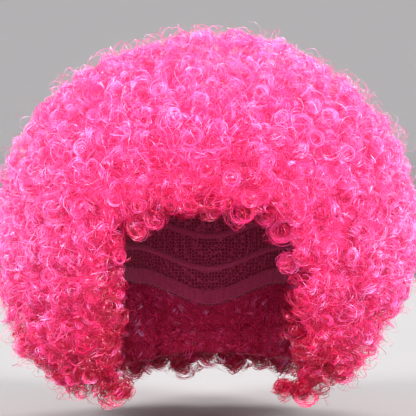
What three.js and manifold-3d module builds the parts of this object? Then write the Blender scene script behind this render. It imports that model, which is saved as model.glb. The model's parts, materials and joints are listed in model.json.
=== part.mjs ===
// Curly wig: a stretch net cap with an elastic edge, and rows of curled hair sewn all over it.
// Millimetres, +Z up. The wearer faces -Y. The origin is where the top of the head meets the cap.
// Azimuth runs from 0 at the face to 90 at the wearer's left (+X) and 180 at the nape.
// Polar angles are measured from straight up.
import * as THREE from "three";
import { mergeVertices } from "three/addons/utils/BufferGeometryUtils.js";
import Module from "manifold-3d";

const wasm = await Module();
wasm.setup();

// Driving dimensions: the head that the cap is stretched over, and the cap itself
const HEAD = { halfWidth: 75, halfLength: 95, halfHeight: 92 };
const NECK = { halfWidth: 64, halfLength: 72, centreY: -2, topZ: -168, bottomZ: -270 };
const CAP_WALL = 1.6;
const BAND = { height: 12, thickness: 1.5 };
const SEWN_GAP = 0.3;
const CAP_SECTORS = 24;
const CAP_STEPS = 5;

// How far below the top of the head the cap's rim lies, from the face round to the nape
const RIM = [
  { place: "forehead", azimuth: 0, drop: 62 },
  { place: "temple", azimuth: 45, drop: 78 },
  { place: "ear", azimuth: 90, drop: 112 },
  { place: "behind the ear", azimuth: 130, drop: 124 },
  { place: "nape", azimuth: 180, drop: 142 },
];

// Driving dimensions: the ball of hair, measured to the tips of its locks
const BALL = { halfWidth: 151, halfDepth: 143, halfHeight: 151, centreY: 12, centreZ: -90 };
const BALL_SECTORS = 18;
const BALL_STEPS = 9;
const LOCK_STAND = 12;
const LOCK_PITCH = 40;
const LOWEST_ROW = { polar: 136, flatZ: -192 };
const ROWS = 9;

// A lock is a rosette of curled hair: rings of points from its crest to its root, round a dimple
const LOCK_SIDES = 5;
const LOCK_DIMPLE = 5;
const LOCK_MOST_TILT = 10;
const LOCK_SIZES = { least: 0.92, most: 1 };
const LOCK_PROFILE = [
  { part: "crest", radius: 12.5, height: 13, turn: 36 },
  { part: "belly", radius: 18.6, height: 5, turn: 0 },
  { part: "root", radius: 14, height: -7, turn: 0 },
];

// Bulges and dents of the ball's outline: where they are, how wide, and how far out they stand
const SWELLS = [
  { place: "upper left side", azimuth: 90, polar: 63, spread: 24, height: 6 },
  { place: "upper right side", azimuth: -90, polar: 70, spread: 18, height: 8 },
  { place: "upper right corner", azimuth: -90, polar: 46, spread: 12, height: 5 },
  { place: "lower right side", azimuth: -90, polar: 116, spread: 20, height: 14 },
  { place: "right of the crown", azimuth: -90, polar: 9, spread: 9, height: -4 },
  { place: "left of the crown", azimuth: 90, polar: 9, spread: 10, height: 5 },
  { place: "below the left ear", azimuth: 90, polar: 122, spread: 13, height: -7 },
  { place: "left jaw", azimuth: 80, polar: 142, spread: 14, height: -9 },
  { place: "right jaw", azimuth: -80, polar: 150, spread: 14, height: -8 },
  { place: "nape", azimuth: 180, polar: 130, spread: 30, height: -8 },
];

// Driving dimensions: the arch that is open for the face, and how far locks hang over its edge
const FACE = { halfWidth: 61, topZ: -70, corner: 26, cornerSteps: 5, bottomZ: -270, depth: 230 };
const EDGE_OVERHANG = 9;

// Where the hair parts into pieces: the rows of locks that each one holds, and the azimuths that it spans
const PIECES = [
  { name: "crown_curls", firstRow: 0, lastRow: 1, from: 0, to: 360 },
  { name: "weft_row_1", firstRow: 2, lastRow: 2, from: 0, to: 360 },
  { name: "weft_row_2", firstRow: 3, lastRow: 3, from: 0, to: 360 },
  { name: "weft_row_3", firstRow: 4, lastRow: 4, from: 0, to: 360 },
  { name: "fringe_curls", firstRow: 5, lastRow: 5, from: -46, to: 46 },
  { name: "weft_row_4", firstRow: 5, lastRow: 5, from: 46, to: 314 },
  { name: "weft_row_5", firstRow: 6, lastRow: 6, from: 0, to: 360 },
  { name: "side_curls_left", firstRow: 7, lastRow: ROWS, from: 0, to: 132 },
  { name: "nape_curls", firstRow: 7, lastRow: ROWS, from: 132, to: 228 },
  { name: "side_curls_right", firstRow: 7, lastRow: ROWS, from: 228, to: 360 },
];
const PARTING = 0.4;
const FAR = 400;

const { degToRad, radToDeg, lerp, euclideanModulo } = THREE.MathUtils;
const ballCentre = new THREE.Vector3(0, BALL.centreY, BALL.centreZ);
const rowStep = LOWEST_ROW.polar / ROWS;

const HAIR_MATERIAL = new THREE.MeshStandardMaterial({ color: 0xfa4b92, roughness: 0.45, metalness: 0 });
const NET_MATERIAL = new THREE.MeshStandardMaterial({ color: 0xb8285e, roughness: 0.85, metalness: 0 });
const ELASTIC_MATERIAL = new THREE.MeshStandardMaterial({ color: 0xc9366f, roughness: 0.75, metalness: 0 });

// A repeatable spread of numbers from 0 to 1, so that no two locks lie alike
function scatter(index, salt) {
  return euclideanModulo(Math.sin(index * 12.9898 + salt * 78.233) * 43758.5453, 1);
}

function unitVector(azimuth, polar) {
  const across = Math.sin(degToRad(polar));
  const turn = degToRad(azimuth);
  return new THREE.Vector3(across * Math.sin(turn), -across * Math.cos(turn), Math.cos(degToRad(polar)));
}

// Solids: a closed mesh becomes a solid, and a solid becomes a mesh's geometry again
function toSolid(geometry) {
  const bare = geometry.clone();
  bare.deleteAttribute("normal");
  bare.deleteAttribute("uv");
  const merged = mergeVertices(bare, 1e-4);
  const corners = [...merged.index.array];
  const kept = [];
  for (let i = 0; i < corners.length; i += 3) {
    const [a, b, c] = corners.slice(i, i + 3);
    if (a !== b && b !== c && a !== c) kept.push(a, b, c);
  }
  const vertProperties = new Float32Array(merged.attributes.position.array);
  return new wasm.Manifold(new wasm.Mesh({ numProp: 3, vertProperties, triVerts: new Uint32Array(kept) }));
}

function toGeometry(solid) {
  const { vertProperties, triVerts } = solid.getMesh();
  const geometry = new THREE.BufferGeometry();
  geometry.setAttribute("position", new THREE.BufferAttribute(new Float32Array(vertProperties), 3));
  geometry.setIndex(new THREE.BufferAttribute(new Uint32Array(triVerts), 1));
  geometry.computeVertexNormals();
  return geometry;
}

// A closed surface through rings of points, with each quad split along its shorter diagonal.
// It ends on two poles, or without them joins its last ring to its first.
function skin(rings, poles) {
  const across = rings[0].length;
  const points = rings.flat();
  const triangles = [];
  const joins = poles ? rings.length - 1 : rings.length;
  for (let i = 0; i < joins; i++) {
    for (let j = 0; j < across; j++) {
      const next = (j + 1) % across;
      const upper = i * across;
      const lower = ((i + 1) % rings.length) * across;
      const [a, b, c, d] = [upper + j, lower + j, lower + next, upper + next];
      const alongAC = points[a].distanceTo(points[c]) < points[b].distanceTo(points[d]);
      triangles.push(...(alongAC ? [a, b, c, a, c, d] : [a, b, d, b, c, d]));
    }
  }
  if (poles) {
    const last = (rings.length - 1) * across;
    for (let j = 0; j < across; j++) {
      const next = (j + 1) % across;
      triangles.push(points.length, j, next, points.length + 1, last + next, last + j);
    }
    points.push(...poles);
  }
  const geometry = new THREE.BufferGeometry().setFromPoints(points);
  geometry.setIndex(triangles);
  geometry.computeVertexNormals();
  return geometry;
}

function ring(count, pointAt) {
  return Array.from({ length: count }, (_, i) => pointAt((360 * i) / count));
}

// The cap: an ellipsoid round the head, which ends at the rim
function rimDrop(azimuth) {
  const side = Math.abs(euclideanModulo(azimuth + 180, 360) - 180);
  const after = Math.max(1, RIM.findIndex((row) => row.azimuth >= side));
  const [from, to] = [RIM[after - 1], RIM[after]];
  const share = (side - from.azimuth) / (to.azimuth - from.azimuth);
  return lerp(from.drop, to.drop, THREE.MathUtils.smoothstep(share, 0, 1));
}

function capPoint(azimuth, polar, offset) {
  const out = unitVector(azimuth, polar);
  const { halfWidth, halfLength, halfHeight } = HEAD;
  return new THREE.Vector3(
    out.x * (halfWidth + offset),
    out.y * (halfLength + offset),
    out.z * (halfHeight + offset) - halfHeight,
  );
}

function rimPolar(azimuth) {
  return radToDeg(Math.acos(1 - rimDrop(azimuth) / HEAD.halfHeight));
}

function bandPolar(azimuth) {
  return rimPolar(azimuth) - radToDeg(BAND.height / HEAD.halfHeight);
}

// Even steps from the top of the head down to the band, and one more down to the rim
function capRings(offset) {
  const steps = Array.from({ length: CAP_STEPS }, (_, i) =>
    ring(CAP_SECTORS, (azimuth) => capPoint(azimuth, (bandPolar(azimuth) * (i + 1)) / CAP_STEPS, offset)),
  );
  return [...steps, ring(CAP_SECTORS, (azimuth) => capPoint(azimuth, rimPolar(azimuth), offset))];
}

function makeCap() {
  const outer = capRings(CAP_WALL);
  const inner = capRings(0).reverse();
  return skin([...outer, ...inner], [capPoint(0, 0, CAP_WALL), capPoint(0, 0, 0)]);
}

// The elastic band lies inside the cap, along its rim
function makeBand() {
  const outside = -SEWN_GAP;
  const inside = outside - BAND.thickness;
  const outer = capRings(outside).slice(-2);
  const inner = capRings(inside).slice(-2).reverse();
  return skin([...outer, ...inner]);
}

// The ball of hair: its surface lies inside the locks' tips and carries the locks
function ballPoint(azimuth, polar, offset) {
  const out = unitVector(azimuth, polar);
  let stand = offset;
  for (const swell of SWELLS) {
    const away = out.angleTo(unitVector(swell.azimuth, swell.polar)) / degToRad(swell.spread);
    stand += swell.height * Math.exp(-away * away);
  }
  const reach = new THREE.Vector3(BALL.halfWidth, BALL.halfDepth, BALL.halfHeight).addScalar(stand);
  return out.multiply(reach).add(ballCentre);
}

function ballNormal(point) {
  const out = point.clone().sub(ballCentre);
  const reach = new THREE.Vector3(BALL.halfWidth, BALL.halfDepth, BALL.halfHeight);
  return out.divide(reach).divide(reach).normalize();
}

function makeBall() {
  const lowest = Math.acos((LOWEST_ROW.flatZ - BALL.centreZ) / (BALL.halfHeight - LOCK_STAND));
  const stepAngle = radToDeg(lowest) / BALL_STEPS;
  const rings = Array.from({ length: BALL_STEPS }, (_, i) =>
    ring(BALL_SECTORS, (azimuth) => ballPoint(azimuth, stepAngle * (i + 1), -LOCK_STAND)),
  );
  return skin(rings, [ballPoint(0, 0, -LOCK_STAND), new THREE.Vector3(0, BALL.centreY, LOWEST_ROW.flatZ)]);
}

// The space for the head follows the cap, and runs on below it past the jaw and neck
function makeHeadSpace() {
  const neckRing = (z) =>
    ring(CAP_SECTORS, (azimuth) => {
      const out = unitVector(azimuth, 90);
      return new THREE.Vector3(out.x * NECK.halfWidth, out.y * NECK.halfLength + NECK.centreY, z);
    });
  const offset = CAP_WALL + SEWN_GAP;
  const rings = [...capRings(offset), neckRing(NECK.topZ), neckRing(NECK.bottomZ)];
  return skin(rings, [capPoint(0, 0, offset), new THREE.Vector3(0, NECK.centreY, NECK.bottomZ)]);
}

// The space in front of the face is an arch with round upper corners, which runs out through the front
function makeFaceSpace() {
  const { halfWidth, topZ, bottomZ, corner, cornerSteps, depth } = FACE;
  const arch = new THREE.Shape();
  arch.moveTo(halfWidth, bottomZ);
  arch.lineTo(halfWidth, topZ - corner);
  arch.absarc(halfWidth - corner, topZ - corner, corner, 0, Math.PI / 2);
  arch.absarc(corner - halfWidth, topZ - corner, corner, Math.PI / 2, Math.PI);
  arch.lineTo(-halfWidth, bottomZ);
  const options = { depth, bevelEnabled: false, curveSegments: cornerSteps };
  return new THREE.ExtrudeGeometry(arch, options).rotateX(Math.PI / 2);
}

// Locks: each one stands on the ball along its normal, at its own size, slant and turn
function makeLock(place, normal, index, size) {
  const rings = LOCK_PROFILE.map(({ radius, height, turn }) =>
    ring(LOCK_SIDES, (angle) => unitVector(angle + turn, 90).multiplyScalar(radius).setZ(height)),
  );
  const middle = (height) => new THREE.Vector3(0, 0, height);
  const lock = skin(rings, [middle(LOCK_DIMPLE), middle(LOCK_PROFILE.at(-1).height)]);
  const up = new THREE.Vector3(0, 0, 1);
  const across = new THREE.Vector3(1, 0, 0);
  const lean = new THREE.Quaternion().setFromAxisAngle(across, degToRad(LOCK_MOST_TILT) * scatter(index, 2));
  const spin = new THREE.Quaternion().setFromAxisAngle(up, 2 * Math.PI * scatter(index, 3));
  const stand = new THREE.Quaternion().setFromUnitVectors(up, normal);
  lock.scale(size, size, size).applyQuaternion(stand.multiply(spin).multiply(lean));
  return lock.translate(place.x, place.y, place.z);
}

// A row below the arch's top starts and ends at the arch's edges
function rowSpan(polar, from, to) {
  const side = ballPoint(90, polar, -LOCK_STAND);
  if (side.z > FACE.topZ) return [from, to];
  const edge = radToDeg(Math.asin((FACE.halfWidth - EDGE_OVERHANG) / side.x));
  return [Math.max(from, edge), Math.min(to, 360 - edge)];
}

function makeRowLocks(row, from, to) {
  const polar = row * rowStep;
  const [start, end] = rowSpan(polar, from, to);
  const length = degToRad(end - start) * BALL.halfWidth * Math.sin(degToRad(polar));
  const count = Math.max(1, Math.floor(length / LOCK_PITCH));
  return Array.from({ length: count }, (_, i) => {
    const azimuth = lerp(start, end, (i + 0.5) / count);
    const index = 400 * row + Math.round(azimuth);
    const place = ballPoint(azimuth, polar, -LOCK_STAND);
    const size = lerp(LOCK_SIZES.least, LOCK_SIZES.most, scatter(index, 1));
    return toSolid(makeLock(place, ballNormal(place), index, size));
  });
}

// Partings: a cone-shaped slice of the ball holds a run of rows, and a sector of it a stretch of them
function makeSlice(firstRow, lastRow) {
  const slack = radToDeg(PARTING / 2 / HEAD.halfWidth);
  const from = Math.max(0, (firstRow - 0.5) * rowStep + slack);
  const to = lastRow === ROWS ? 180 : (lastRow + 0.5) * rowStep - slack;
  const turns = [1, 2 / 3, 1 / 3, 0].map((share) => degToRad(lerp(from, to, share)));
  const corners = turns.map((polar) => new THREE.Vector2(FAR * Math.sin(polar), FAR * Math.cos(polar)));
  const profile = [new THREE.Vector2(0, 0), ...corners, new THREE.Vector2(0, 0)];
  return onBall(new THREE.LatheGeometry(profile, BALL_SECTORS).rotateX(Math.PI / 2));
}

function makeSector(from, to) {
  const facing = (from + to) / 2;
  const halfAngle = (to - from) / 2;
  const turn = (azimuth) => unitVector(azimuth, 90).multiplyScalar(FAR);
  const middle = unitVector(facing, 90).multiplyScalar(PARTING / 2 / Math.sin(degToRad(halfAngle)));
  const outline = [-1, -0.5, 0, 0.5, 1].map((share) => turn(facing + share * halfAngle).add(middle));
  const corners = [middle, ...outline].map(({ x, y }) => new THREE.Vector2(x, y));
  const block = new THREE.ExtrudeGeometry(new THREE.Shape(corners), { depth: 2 * FAR, bevelEnabled: false });
  return onBall(block.translate(0, 0, -FAR));
}

// A parting is drawn for a round ball, then squeezed and placed as the ball is
function onBall(parting) {
  parting.scale(1, BALL.halfDepth / BALL.halfWidth, BALL.halfHeight / BALL.halfWidth);
  return toSolid(parting.translate(0, BALL.centreY, BALL.centreZ));
}

function makeBacking() {
  const ball = toSolid(makeBall());
  return ball.subtract(toSolid(makeFaceSpace())).subtract(toSolid(makeHeadSpace()));
}

function makePiece(backing, { firstRow, lastRow, from, to }) {
  let piece = backing.intersect(makeSlice(firstRow, lastRow));
  if (to - from < 360) piece = piece.intersect(makeSector(from, to));
  for (let row = firstRow; row <= lastRow; row++) {
    for (const lock of makeRowLocks(row, from, to)) piece = piece.add(lock);
  }
  return piece;
}

function addMesh(group, name, geometry, material) {
  const mesh = new THREE.Mesh(geometry, material);
  mesh.name = name;
  group.add(mesh);
}

function makeWig() {
  const wig = new THREE.Group();
  wig.name = "curly_wig";
  addMesh(wig, "cap_net", makeCap(), NET_MATERIAL);
  addMesh(wig, "edge_band", makeBand(), ELASTIC_MATERIAL);
  const backing = makeBacking();
  for (const row of PIECES) addMesh(wig, row.name, toGeometry(makePiece(backing, row)), HAIR_MATERIAL);
  return wig;
}

export default makeWig();
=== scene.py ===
"""Looks of the curly wig: ring curls, hoops and fine fibres, a net cap and a ribbed elastic edge."""
import json
import math

import bpy
import numpy as np
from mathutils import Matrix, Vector
from mathutils.bvhtree import BVHTree


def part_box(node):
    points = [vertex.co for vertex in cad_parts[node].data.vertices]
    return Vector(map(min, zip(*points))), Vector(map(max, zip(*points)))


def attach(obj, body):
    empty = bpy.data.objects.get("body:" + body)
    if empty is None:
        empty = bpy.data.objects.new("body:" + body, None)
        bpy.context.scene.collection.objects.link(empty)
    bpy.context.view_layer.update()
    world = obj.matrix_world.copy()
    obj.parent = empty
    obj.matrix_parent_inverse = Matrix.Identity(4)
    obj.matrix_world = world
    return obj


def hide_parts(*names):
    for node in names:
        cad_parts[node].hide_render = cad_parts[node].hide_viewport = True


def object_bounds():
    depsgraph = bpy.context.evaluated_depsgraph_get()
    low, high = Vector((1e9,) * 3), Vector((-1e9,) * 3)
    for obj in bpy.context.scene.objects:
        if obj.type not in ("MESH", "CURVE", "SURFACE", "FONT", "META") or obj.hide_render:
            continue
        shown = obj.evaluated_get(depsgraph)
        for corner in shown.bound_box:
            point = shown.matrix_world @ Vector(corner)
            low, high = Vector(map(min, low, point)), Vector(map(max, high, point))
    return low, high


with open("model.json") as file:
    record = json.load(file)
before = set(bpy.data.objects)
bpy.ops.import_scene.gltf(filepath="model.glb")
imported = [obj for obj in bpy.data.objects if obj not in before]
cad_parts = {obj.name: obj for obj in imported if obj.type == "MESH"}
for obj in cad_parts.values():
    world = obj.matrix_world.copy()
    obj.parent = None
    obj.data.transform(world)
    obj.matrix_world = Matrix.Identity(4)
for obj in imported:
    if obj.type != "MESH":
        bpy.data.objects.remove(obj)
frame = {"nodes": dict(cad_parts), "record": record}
cad_low, cad_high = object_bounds()

MM = 0.001
SEED = 20
LEAST_LENGTH = 1e-12

# The camera: level, straight from the front
VIEW_ANGLE = math.radians(14.65)
CAMERA_PLACE = (-0.0007, -1.188, -0.0663)
SENSOR_WIDTH = 36

# The cap, in millimetres: the head's half sizes, the wall, and how far the rim lies below the top of the head
HEAD = np.array([75.0, 95.0, 92.0])
CAP_WALL = 1.6
RIM = [(0, 62), (45, 78), (90, 112), (130, 124), (180, 142)]
CAP_SECTORS = 120
CAP_STEPS = 26
CAP_FIRST_SHARE = 0.02

# Tapes sewn round inside the cap, in millimetres: their places from the top to the band, and their stitches
SEAM_SHARES = (0.2, 0.34, 0.48, 0.62, 0.76, 0.9)
SEAM_HALF_WIDTH = 2.4
SEAM_OUTSIDE = -0.1
SEAM_THICKNESS = 0.5
STITCHES_TO_A_SEAM = 90
STITCH_HALF_WIDTH = 0.3
STITCH_REACH = 0.6
STITCH_PROUD = 0.15

# The elastic band, in millimetres
BAND_HEIGHT = 12.0
BAND_OUTSIDE = -0.3
BAND_THICKNESS = 1.5
BAND_SECTORS = 450
BAND_RIBS = 6
BAND_RIB_DEPTH = 0.35
BAND_GATHERS = 90
BAND_GATHER_DEPTH = 0.3
BAND_GATHER_ROOM = 0.4

# The nodes that are hair, in the record's order
HAIR_NODES = [part["node"] for part in frame["record"]["subparts"] if part["material_slot"] == "hair"]

# How the hair's surface is sampled, how many samples are passed over, and how hidden faces are told from it
SAMPLES_PER_M2 = 160000
CANOPY_EVERY = 6
SURFACE_EVERY = 4
EDGE_EVERY = 2
RAY_START = 0.1 * MM
COVERED_WITHIN = 45 * MM
OUTER_FACING = 0.1
OUTER_HEIGHT = 0.86

# The canopy that the tips make: how far round a point they count, and which share of them lies below it
CANOPY_REACH = 26 * MM
CANOPY_LEAST_REACH = 1.2
CANOPY_SHARE = 85

# The dense hair under the curls: its fineness and softness, what counts as outside, and how far it is sunk
UNDER_VOXEL = 6 * MM
UNDER_SOFTNESS = 0.5
UNDER_SOFT_ROUNDS = 3
UNDER_OUTER_START = 0.80
UNDER_OUTER_REACH = 0.1
UNDER_FACING = 2
UNDER_DEPTH = 7 * MM
UNDER_EDGE_DEPTH = 6 * MM
UNDER_EVENED = 0.8
UNDER_OFF_CAP = 2.5

# How near a neighbour is that a piece is joined to, and how far its sides are pushed towards it
JOINED_WITHIN = 7 * MM
UNDER_JOIN = 5 * MM

# Curls are bundles of strands. Rings are seen from their end, and hoops arch out of the hair and back in
CURL_SPACING = 5.2 * MM
CURL_RADIUS = (2.8 * MM, 7.6 * MM)
CURL_RADIUS_BIAS = 1.3
CURL_TINT_SPREAD = 0.07
RING_SHARE = 0.45
RING_TURNS = (0.8, 1.6)
RING_RISE = (2 * MM, 6 * MM)
RING_SUNK = (-1 * MM, 5 * MM)
RING_FLARE = (0.6, 1.6)
RING_STEPS = 12
RING_STRANDS = 7
HOOP_TURNS = (0.6, 0.95)
HOOP_RISE = (2 * MM, 8 * MM)
HOOP_SUNK = (-2 * MM, 5 * MM)
HOOP_TURN_SPREAD = 0.35
HOOP_LEAN = 0.25
HOOP_FLARE = 0.4
HOOP_CREST = (0.35, 0.65)
HOOP_STEPS = 9
HOOP_STRANDS = 7

# A curl's form: how wide it starts, how much it narrows, how flat it may be, and the waves that it sways in
COIL_WIDE = 1.14
COIL_NARROWS = 0.3
COIL_FLATTENED = (0.72, 1.0)
SWAY_WAVES = (1.3, 2.9)

# The strips that strands are made of, which are narrow at their ends and soon widen
STRAND_HALF_WIDTH = (0.11 * MM, 0.33 * MM)
STRAND_WIDTH_BIAS = 3
STRAND_END = 0.25
STRAND_WIDENS = 4
STRAND_TINT_SPREAD = 0.05

# Curls gather in clumps: how far apart these are, how far they stand out, how much their curls fan out, and
# how much paler the clumps' crests are, as painted light, with deeper gaps between them as painted shade
CLUMP_SPACING = 15 * MM
CLUMP_REACH = 11 * MM
CLUMP_RISE = 3 * MM
CLUMP_DIP = -0.6
CLUMP_FAN = 0.9
CLUMP_PAINTED_LIGHT_SHADE = 0.08

# Rings that show clearly, on the crests of some clumps and the fronts of the lumps, a little paler as painted
# light
CLEAR_SPACING = 26 * MM
CLEAR_RADIUS = (4.6 * MM, 7.2 * MM)
CLEAR_OUT = 0.8 * MM
CLEAR_TURNS = 1.5
CLEAR_STEPS = 20
CLEAR_STRANDS = 6
CLEAR_PAINTED_LIGHT = 0.04

# How far the strands of a curl stray from each other
STRAY_ALONG = 1.6 * MM
STRAY_ASIDE = 0.5 * MM
STRAY_LEAN = 0.2
STRAY_RADIUS = (0.76, 1.12)
STRAY_TURN = 0.5
STRAY_WOBBLE = 0.8 * MM

# Painted highlights on some curls' crests: their share, how pale they are, how much of them on top, and how
# soon they fade
PAINTED_HIGHLIGHT_SHARE = 0.24
PAINTED_HIGHLIGHT_TINT = (0.3, 1.0)
PAINTED_HIGHLIGHT_ON_TOP = 0.15
PAINTED_HIGHLIGHT_FADE = 0.7

# Curls on the walls of the face opening and on the lower edge, deeper in tint as painted shade
EDGE_SPACING = 7.5 * MM
EDGE_SUNK = (-4 * MM, 2 * MM)
EDGE_PAINTED_SHADE = 0.1

# The face opening's edge and the lower rim, in millimetres, and the curls that roll round them
FACE = {"half_width": 61.0, "left_share": 0.92, "top": -70.0, "corner": 26.0, "low": -184.0}
LOWER_RIM = {"z": -193.0, "first": 42.0, "last": 318.0, "reach": 105.0}
ROLL_SPACING = 1.7
ROLL_INSET = (-2.0, 9.0)
OPENING_LEAST_INSET = 8.0
RIM_LEAST_INSET = 3.0
ROLL_DEPTH = 9.0
ROLL_OUTWARD = 1.15
# Rolled curls are deeper in tint: painted shade
ROLL_PAINTED_SHADE = -0.06
ROLL_CLUMPS = (11.0, 19.0)
ROLL_CLUMP_REACH = 8.0
ROLL_CLUMP_RISE = 3.5
ROLL_CLUMP_DIP = -0.4
FAR_OUT = 400.0

# Lumps of curls that hang from the edges, in millimetres: x, y and z of the middle, and radius
LUMPS = {
    "fringe_curls": [
        (-47, -109, -80, 8.0),
        (-35, -112, -73, 8.5),
        (-13, -115, -65, 9.0),
        (4, -116, -63, 9.0),
        (21, -114, -70, 9.0),
        (36, -111, -70, 9.5),
        (47, -107, -82, 9.5),
    ],
    "weft_row_5": [(52, -104, -103, 7.0)],
    "side_curls_left": [(49, -65, -199, 7.0), (60, -66, -201, 8.0)],
    "side_curls_right": [(-57, -65, -199, 7.5)],
    "nape_curls": [
        (-54, 80, -197, 8.0),
        (-38, 86, -192, 8.5),
        (-21, 89, -197, 8.0),
        (-1, 92, -188, 9.5),
        (19, 90, -196, 8.5),
        (38, 86, -193, 8.0),
        (53, 81, -198, 8.0),
    ],
}
LUMP_CURLS = 24
LUMP_CORE_CURLS = 6
LUMP_CORE = 0.55
# Lump curls are a little deeper in tint: painted shade
LUMP_PAINTED_SHADE = -0.02
LUMP_RING_REACH = 1.0
LUMP_RING_OUT = 0.75
LUMP_RING_STRANDS = 10
GOLDEN_TURN = math.pi * (3 - math.sqrt(5))

# The low hair is drawn up, so that its tips end where the solids do, drawn in, and flicked out at the edge
HEM_START = -120 * MM
HEM_REACH = 85 * MM
HEM_SIDES = (-80 * MM, 80 * MM)
HEM_LIFTS = (7 * MM, 10 * MM)
HEM_HEIGHTS = (-205 * MM, -188 * MM, -150 * MM, -115 * MM)
HEM_FLARES = (0.07, 0.05, -0.02, 0.0)

# Single fibres, which stand between the curls and off the outline
FRIZZ_PER_M2 = 32000
FRIZZ = {"radius": (4 * MM, 12 * MM), "turns": (0.3, 0.7), "stand": (-4 * MM, 4 * MM), "steps": 8}
FLYAWAYS_PER_M2 = 11000
FLYAWAYS = {"radius": (4 * MM, 10 * MM), "turns": (0.5, 1.1), "stand": (1 * MM, 12 * MM), "steps": 11}
FIBRE_HALF_WIDTH = (0.07 * MM, 0.16 * MM)
FIBRE_RISE = (1 * MM, 12 * MM)
FIBRE_TURN_SPREAD = 0.5
FIBRE_LEAN = 0.4
FIBRE_WOBBLE = 1.2 * MM
FIBRE_TINT = 0.02
FIBRE_TINT_SPREAD = 0.12

# Colours of the strands from the deepest to the palest, whose deep end serves painted shade and pale end
# painted highlights, and of the hair under them, whose low colours are deeper as painted shade
HAIR_COLOURS = [
    (0.0, (0.48, 0.002, 0.028)),
    (0.25, (0.92, 0.018, 0.15)),
    (0.5, (0.96, 0.086, 0.375)),
    (0.75, (0.98, 0.25, 0.66)),
    (1.0, (0.98, 0.58, 0.92)),
]
UNDER_LIT_TOP_COLOURS = [(0.0, (0.90, 0.022, 0.15)), (0.5, (0.94, 0.050, 0.27)), (1.0, (0.97, 0.10, 0.42))]
UNDER_SHADED_LOW_COLOURS = [(0.0, (0.36, 0.002, 0.02)), (0.5, (0.60, 0.006, 0.06)), (1.0, (0.84, 0.022, 0.13))]
UNDER_PULL = 0.008
UNDER_RINGS = 48

# Colours of the net from its threads to its open cells, which are darker as painted shade in the holes, and
# of the tapes and the band from dark to light, darker in the hollows between threads as painted shade
NET_COLOURS = [(0.0, (0.72, 0.07, 0.24)), (0.06, (0.62, 0.05, 0.18)), (0.12, (0.25, 0.012, 0.05))]
TAPE_COLOURS = [(0.3, (0.50, 0.03, 0.12)), (0.7, (0.78, 0.08, 0.28))]
TAPE_WEAVE = 900
BAND_COLOURS = [(0.3, (0.46, 0.03, 0.12)), (0.7, (0.72, 0.07, 0.24))]
BAND_WEAVE = 700

# The tint at mid height, and painted shade: how it deepens above and below that, most towards the lower edge;
# and its limits
TINT_MIDDLE = 0.70
PAINTED_SHADE_ABOVE = -0.15
PAINTED_SHADE_BELOW = 0.6
TINT_LIMITS = (0.02, 0.98)

# Places with painted shadow, where the tint is deeper: the fringe, under the hair that bulges above it, and
# both sides of the face, in millimetres
PAINTED_SHADOW_PLACES = [
    {"place": (0, -115, -70), "spread": (85, 60, 46), "deeper": 0.47},
    {"place": (-60, -90, -160), "spread": (27, 70, 65), "deeper": 0.74},
    {"place": (60, -90, -178), "spread": (25, 70, 48), "deeper": 0.6},
]

# Painted shade and light by depth: how much deeper the tint is where a strand runs below the surface, the
# more so on hair that faces down, how far paler it may get where it stands out, and how far down that goes on
PAINTED_SHADE_BY_DEPTH = {"facing_up": (-1, 0, 1), "deeper": (0.85, 0.27, 0.14)}
PAINTED_LIGHT_STANDING = 0.25
PAINTED_SHADE_DEPTH = 9 * MM

# Where the strands' points lie in the flat layout of tint by length, spread so that each face has some area
UV_SPREAD = 0.006
UV_LIMITS = (0.001, 0.999)

# The floor and the round wall that it turns up into, and the paper that they are made of
FLOOR_BELOW = 12 * MM
WALL_RADIUS = 4.0
WALL_CORNER = 1.6
WALL_HEIGHT = 5.0
WALL_SECTORS = 64
WALL_CORNER_STEPS = 9
PAPER_COLOURS = [(0.0, (0.32, 0.313, 0.313)), (1.0, (0.86, 0.85, 0.85))]
PAPER_RISE = 0.4

# The lights, and the even light from all round
LIGHTS = {
    "key_left": {"place": (-1.75, -0.9, 0.88), "size": 0.9, "power": 70, "colour": (1, 0.98, 0.99)},
    "key_right": {"place": (1.75, -0.9, 0.88), "size": 0.9, "power": 73, "colour": (1, 0.98, 0.99)},
    "fill": {"place": (0.1, -2.3, 0.3), "size": 1.4, "power": 14, "colour": (1, 0.99, 1)},
    "back": {"place": (0.2, 1.6, 1.5), "size": 1.3, "power": 42, "colour": (1, 1, 1)},
    "back_fill": {"place": (-0.1, 2.3, 0.3), "size": 1.4, "power": 14, "colour": (1, 0.99, 1)},
}
WORLD_COLOUR = (0.95, 0.96, 1, 1)
WORLD_STRENGTH = 0.3

rng = np.random.default_rng(SEED)


# Small helpers on arrays of rows
def unit(rows):
    return rows / np.maximum(np.linalg.norm(rows, axis=-1, keepdims=True), LEAST_LENGTH)


def dots(a, b):
    return np.sum(a * b, axis=-1, keepdims=True)


def between(limits, count):
    return rng.uniform(limits[0], limits[1], count)


def random_tangents(normals):
    return unit(np.cross(normals, rng.normal(size=normals.shape)))


def eased(share):
    """A share from 0 to 1 that starts and ends slowly."""
    return share * share * (3 - 2 * share)


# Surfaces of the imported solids
def triangles_of(mesh):
    mesh.calc_loop_triangles()
    points = np.empty(len(mesh.vertices) * 3, np.float32)
    mesh.vertices.foreach_get("co", points)
    corners = np.empty(len(mesh.loop_triangles) * 3, np.int32)
    mesh.loop_triangles.foreach_get("vertices", corners)
    return points.reshape(-1, 3).astype(float), corners.reshape(-1, 3)


def tree_of_all():
    """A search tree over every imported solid, and the node that each of its faces belongs to."""
    points, corners, owners, start = [], [], [], 0
    for name, node in frame["nodes"].items():
        some, faces = triangles_of(node.data)
        points.append(some)
        corners.append(faces + start)
        owners += [name] * len(faces)
        start += len(some)
    return BVHTree.FromPolygons(np.concatenate(points).tolist(), np.concatenate(corners).tolist()), owners


solids, solid_owners = tree_of_all()


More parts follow.
